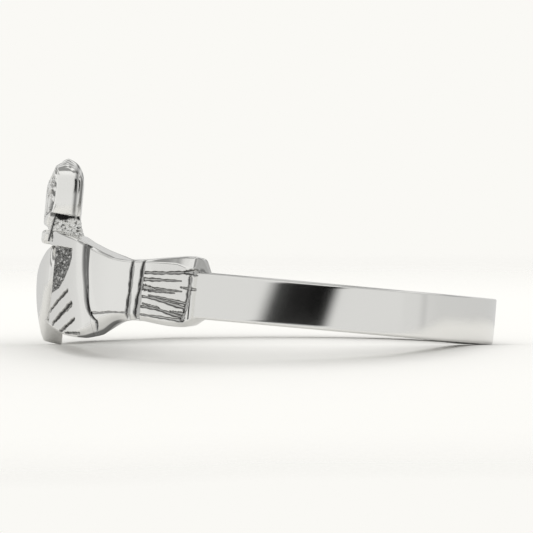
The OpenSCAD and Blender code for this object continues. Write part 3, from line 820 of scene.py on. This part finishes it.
# Sandy skin that the mould leaves where nobody can polish; its tone is painted shade in the pits and a few
# painted glints on the grains
def grainGroup():
    group, given = newGroup("castGrain", ["Grain Size", "Contrast", "Shine"],
                            {"Height": "Float", "Tone": "Color"})
    spot = addNode(group, "TexCoord").outputs["Object"]
    size = {"Vector": spot, "Scale": given["Grain Size"]}
    cells = addNode(group, "TexVoronoi", size).outputs["Distance"]
    sand = addNode(group, "TexNoise", {**size, "Detail": silver["grainDetail"]}).outputs["Fac"]
    height = calc(group, "MULTIPLY", cells, sand)
    lift = calc(group, "MULTIPLY_ADD", sand, given["Contrast"], given["Shine"])
    tones = addNode(group, "ValToRGB", {"Fac": lift})
    fillRamp(tones, silver["grainTones"], silver["grainTint"])
    addNode(group, "NodeGroupOutput", {"Height": height, "Tone": tones.outputs["Color"]})
    return group


polishMarks, castGrain = polishGroup(), grainGroup()

# A finish goes on the pieces with the word "on" in their names. Swirl and bump are the size and height
# of its polish marks, the shade share how strongly its painted shade shows, lift its colour brightened as
# painted light;
# the rest is for the cast grain, with its painted shade and painted glints
usualFinish = {"polish": 0.12, "swirl": 900.0, "bump": 2e-7, "deepShare": 0.85, "lift": 1.0,
               "grainSize": 9000.0, "contrast": 1.0, "shine": 0.0}
finishes = {
    "bandSilver": {"on": "band", "polish": 0.09, "swirl": 700.0, "bump": 1.2e-7},
    "heartSilver": {"on": "heart"},
    # The crown's colour is lifted a little: painted light
    "crownSilver": {"on": "crown", "lift": 1.065},
    "neckSilver": {"on": "neck", "polish": 0.2, "grainSize": 7500.0, "contrast": 2.2, "shine": -0.30},
    "blockSilver": {"on": "cleftBlock", "polish": 0.14},
    "handSilver": {"on": "Hand", "deepShare": 0.96},
    "cuffSilver": {"on": "Cuff", "polish": 0.11, "deepShare": 0.94},
}


def silverMaterial(name, finish):
    material = bpy.data.materials.new(name)
    material.use_nodes = True
    tree = material.node_tree
    marks = addNode(tree, "Group", {"Swirl Size": finish["swirl"]}, node_tree=polishMarks).outputs
    grain = addNode(tree, "Group", {
        "Grain Size": finish["grainSize"], "Contrast": finish["contrast"], "Shine": finish["shine"],
    }, node_tree=castGrain).outputs
    deep = addNode(tree, "Attribute", attribute_name="deep").outputs["Fac"]
    rough = addNode(tree, "Attribute", attribute_name="rough").outputs["Fac"]

    # Silver's own colour, brightened as painted light where a finish lifts it
    bright = (*[finish["lift"] * tone for tone in silver["bright"]], 1)
    # Painted shade where the deep attribute asks for it, nearly black on the rough ground
    share = calc(tree, "MULTIPLY", deep, finish["deepShare"])
    toned = mix(tree, "RGBA", share, bright, (*silver["deepTone"], 1))
    shadedGrain = mix(tree, "RGBA", deep, grain["Tone"], (*silver["pitTone"], 1))
    colour = mix(tree, "RGBA", rough, toned, shadedGrain)

    least, most = [finish["polish"] * part for part in silver["haze"]]
    spread = addNode(tree, "MapRange", {"Value": marks["Haze"], "To Min": least, "To Max": most})
    roughness = mix(tree, "FLOAT", rough, spread.outputs["Result"], silver["groundRough"])

    fine = calc(tree, "MULTIPLY", marks["Height"], finish["bump"])
    coarse = calc(tree, "MULTIPLY", grain["Height"], silver["groundBump"])
    height = mix(tree, "FLOAT", rough, fine, coarse)
    bumps = addNode(tree, "Bump", {"Distance": 1.0, "Height": height})

    feed(tree, tree.nodes["Principled BSDF"], {
        "Metallic": 1.0, "Base Color": colour, "Roughness": roughness, "Normal": bumps.outputs["Normal"]})
    return material


for name, finish in finishes.items():
    material = silverMaterial(name, {**usualFinish, **finish})
    for piece in pieces:
        if finish["on"] in piece.name:
            piece.data.materials.append(material)
for piece in pieces:
    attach(piece, "root")
    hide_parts("ring")
print("silver finishes placed")


studio = {
    "background": (0.956, 0.947, 0.913),
    # Tone that the tent shows by direction, in degrees to the right of the camera, and the same
    # with the dark opening that the camera looks through
    "tent": [(-180, 0.62), (-125, 0.69), (-108, 0.75), (-90, 0.80), (-68, 0.78), (-45, 0.73), (0, 0.75),
             (60, 0.71), (81, 0.70), (85, 0.54), (87, 0.67), (95, 0.64), (150, 0.62), (180, 0.66)],
    "opening": [(-9, 0.73), (-1, 0.05), (8, 0.012), (17, 0.008), (25, 0.001), (30, 0.008), (36, 0.73)],
    "openingSlant": 1.3, "openingRise": (4.5, 9), "openingSide": 70,
    "ceiling": 0.85, "ceilingRise": (14, 40), "ground": 0.75, "groundFall": (14, 24),
    # Dark belts that draw a line along each rounded edge, and the heights where they begin and end;
    # the lower one leaves out the middle
    "belt": 0.28, "beltRise": (50, 56, 72, 78), "lowBelt": 0.32, "lowBeltRise": (22, 26, 34, 38),
    "lowBeltAside": (36, 44),
    # Tone that lights the floor, and the one that it gives on
    "dome": 1.10, "bounce": 0.12, "tint": (1, 1, 0.985),
}


def buildWorld():
    world = bpy.data.worlds.new("lightTent")
    bpy.context.scene.world = world
    world.use_nodes = True
    tree = world.node_tree
    tree.nodes.clear()

    def between(value, ends):
        return smoothNode(tree, value, [math.radians(end) for end in ends])

    def mixed(share, a, b):
        a, b = [tinted(side, studio["tint"]) if isinstance(side, float) else side for side in (a, b)]
        return mix(tree, "RGBA", share, a, b)

    def byDirection(key, turned):
        ramp = addNode(tree, "ValToRGB", {"Fac": turned})
        fillRamp(ramp, [(degrees / 360 + 0.5, tone) for degrees, tone in studio[key]], studio["tint"])
        return ramp.outputs["Color"]

    way = addNode(tree, "TexCoord").outputs["Generated"]
    x, y, z = addNode(tree, "SeparateXYZ", {0: way}).outputs
    turn = calc(tree, "ARCTAN2", x, calc(tree, "MULTIPLY", y, -1.0))
    rise = calc(tree, "ARCSINE", z)
    height = calc(tree, "ABSOLUTE", rise)
    sideways = calc(tree, "ABSOLUTE", turn)
    turned = calc(tree, "MULTIPLY_ADD", turn, 1 / (2 * math.pi), 0.5)
    slant = -studio["openingSlant"] / (2 * math.pi)
    slanted = calc(tree, "MULTIPLY_ADD", rise, slant, turned)
    inFront = calc(tree, "LESS_THAN", sideways, math.radians(studio["openingSide"]))
    away = between(height, studio["openingRise"])
    solid = calc(tree, "MAXIMUM", away, calc(tree, "SUBTRACT", 1.0, inFront))
    tone = mixed(solid, byDirection("opening", slanted), byDirection("tent", turned))
    tone = mixed(between(rise, studio["ceilingRise"]), tone, studio["ceiling"])
    fall = calc(tree, "MULTIPLY", rise, -1.0)
    tone = mixed(between(fall, studio["groundFall"]), tone, studio["ground"])
    for belt, part in (("belt", 1.0), ("lowBelt", between(sideways, studio["lowBeltAside"]))):
        rows = studio[belt + "Rise"]
        share = calc(tree, "SUBTRACT", between(height, rows[:2]), between(height, rows[2:]))
        tone = mixed(calc(tree, "MULTIPLY", share, part), tone, studio[belt])
    ray = addNode(tree, "LightPath").outputs
    bounced = calc(tree, "GREATER_THAN", ray["Diffuse Depth"], 0.5)
    tone = mixed(bounced, tone, studio["bounce"])
    tone = mixed(ray["Is Diffuse Ray"], tone, studio["dome"])
    light = addNode(tree, "Background", {"Color": tone})
    seen = addNode(tree, "Background", {"Color": (*studio["background"], 1)})
    shown = addNode(tree, "MixShader", {
        "Fac": ray["Is Camera Ray"], 1: light.outputs[0], 2: seen.outputs[0]})
    addNode(tree, "OutputWorld", {"Surface": shown.outputs[0]})


paleFloor = {
    # Half its size, its tone, the darker tone that the ring's reflections see as painted shade, and its tint
    "half": 0.3, "tone": 0.765, "mirrored": 0.62, "tint": (1, 0.99, 0.965),
    # Where the floor fades out: round about, in front, and for the ring's own mirror
    "fade": (0.04, 0.09), "frontFade": (0.028, 0.044), "mirrorFade": (0.015, 0.024),
    # Where it leaves the flat, over what length it bends, and its slope from there
    "front": (0.003, 0.003, 0.14), "behind": (0.0025, 0.001, 0.045),
    # Under the head, between these places along the ring, the front slope begins here instead
    "frontByHead": 0.0005, "head": (0.001, -0.009),
    # Where its bent part lies, and its number of steps
    "across": (-0.010, 0.002, 49), "along": (-0.008, 0.008, 129),
}


# Flat where the ring touches it, falling gently in front and rising gently behind, so that the low
# camera sees the soft shadow all round
def floorHeight(x, y):
    def roll(past, bend):
        past = np.maximum(past, 0)
        return np.where(past < bend, past * past / (2 * bend), past - bend / 2)

    start, bend, slope = paleFloor["front"]
    start = blend(start, paleFloor["frontByHead"], smooth(*paleFloor["head"], x))
    startBehind, bendBehind, slopeBehind = paleFloor["behind"]
    return slopeBehind * roll(y - startBehind, bendBehind) - slope * roll(-y - start, bend)


def paleMaterial():
    material = bpy.data.materials.new("paleFloor")
    material.use_nodes = True
    tree = material.node_tree
    tree.nodes.clear()
    spot = addNode(tree, "TexCoord").outputs["Object"]
    far = addNode(tree, "VectorMath", {0: spot}, operation="LENGTH").outputs["Value"]
    along = addNode(tree, "SeparateXYZ", {0: spot}).outputs["Y"]
    inMirror = addNode(tree, "LightPath").outputs["Is Glossy Ray"]
    gone = calc(tree, "MAXIMUM", smoothNode(tree, far, paleFloor["fade"]),
                smoothNode(tree, along, [-end for end in paleFloor["frontFade"]]))
    mirrorGone = calc(tree, "MULTIPLY", smoothNode(tree, far, paleFloor["mirrorFade"]), inMirror)
    # The ring's reflections see the floor darker: painted shade
    seen, mirrored = [tinted(paleFloor[key], paleFloor["tint"]) for key in ("tone", "mirrored")]
    paint = mix(tree, "RGBA", inMirror, seen, mirrored)
    pale = addNode(tree, "BsdfDiffuse", {"Color": paint})
    clear = addNode(tree, "BsdfTransparent")
    fading = addNode(tree, "MixShader", {
        "Fac": calc(tree, "MAXIMUM", gone, mirrorGone), 1: pale.outputs[0], 2: clear.outputs[0]})
    addNode(tree, "OutputMaterial", {"Surface": fading.outputs[0]})
    return material


def buildFloor():
    half = paleFloor["half"]
    xs, ys = [np.concatenate([[-half], np.linspace(*paleFloor[way]), [half]]) for way in ("across", "along")]
    x, y = np.meshgrid(xs, ys)
    spots = np.stack([x, y, floorHeight(x, y)], -1).reshape(-1, 3)
    index = np.arange(x.size).reshape(x.shape)
    faces = np.stack([index[:-1, :-1], index[:-1, 1:], index[1:, 1:], index[1:, :-1]], -1).reshape(-1, 4)
    mesh = smoothMesh("floor", spots, faces.tolist())
    mesh.materials.append(paleMaterial())
    floor = addObject("floor", mesh)


def aim(thing, target):
    way = np.array(target, float) - np.array(thing.location)
    flat = math.hypot(way[0], way[1])
    thing.rotation_euler = (math.pi / 2 + math.atan2(way[2], flat), 0, math.atan2(-way[0], way[1]))


# Soft light that only the floor feels
lamp = {"place": (-0.03, 0.06, 0.28), "size": 0.30, "power": 0.25, "target": (0, 0, 0.003)}


def buildLamp():
    data = bpy.data.lights.new("topLight", "AREA")
    data.shape, data.size, data.size_y, data.energy = "ELLIPSE", lamp["size"], lamp["size"], lamp["power"]
    light = addObject("topLight", data)
    light.visible_glossy = False
    light.location = lamp["place"]
    aim(light, lamp["target"])


# Height of the camera in degrees, its distance, and the width of its picture at the ring
camera = {"target": (-0.000012, 0.0, 0.003406), "far": 1.0, "rise": 0.12, "frame": 0.02327}


def buildCamera():
    data = bpy.data.cameras.new("camera")
    eye = addObject("camera", data)
    rise = math.radians(camera["rise"])
    x, y, z = camera["target"]
    eye.location = (x, y - camera["far"] * math.cos(rise), z + camera["far"] * math.sin(rise))
    aim(eye, camera["target"])
    data.lens_unit = "FOV"
    data.angle = 2 * math.atan(camera["frame"] / 2 / camera["far"])
    data.clip_start, data.clip_end = 0.01, 10
    bpy.context.scene.camera = eye


buildWorld()
buildFloor()
buildLamp()
buildCamera()
view = bpy.context.scene.view_settings
view.view_transform, view.look = "Standard", "None"
print("studio set")
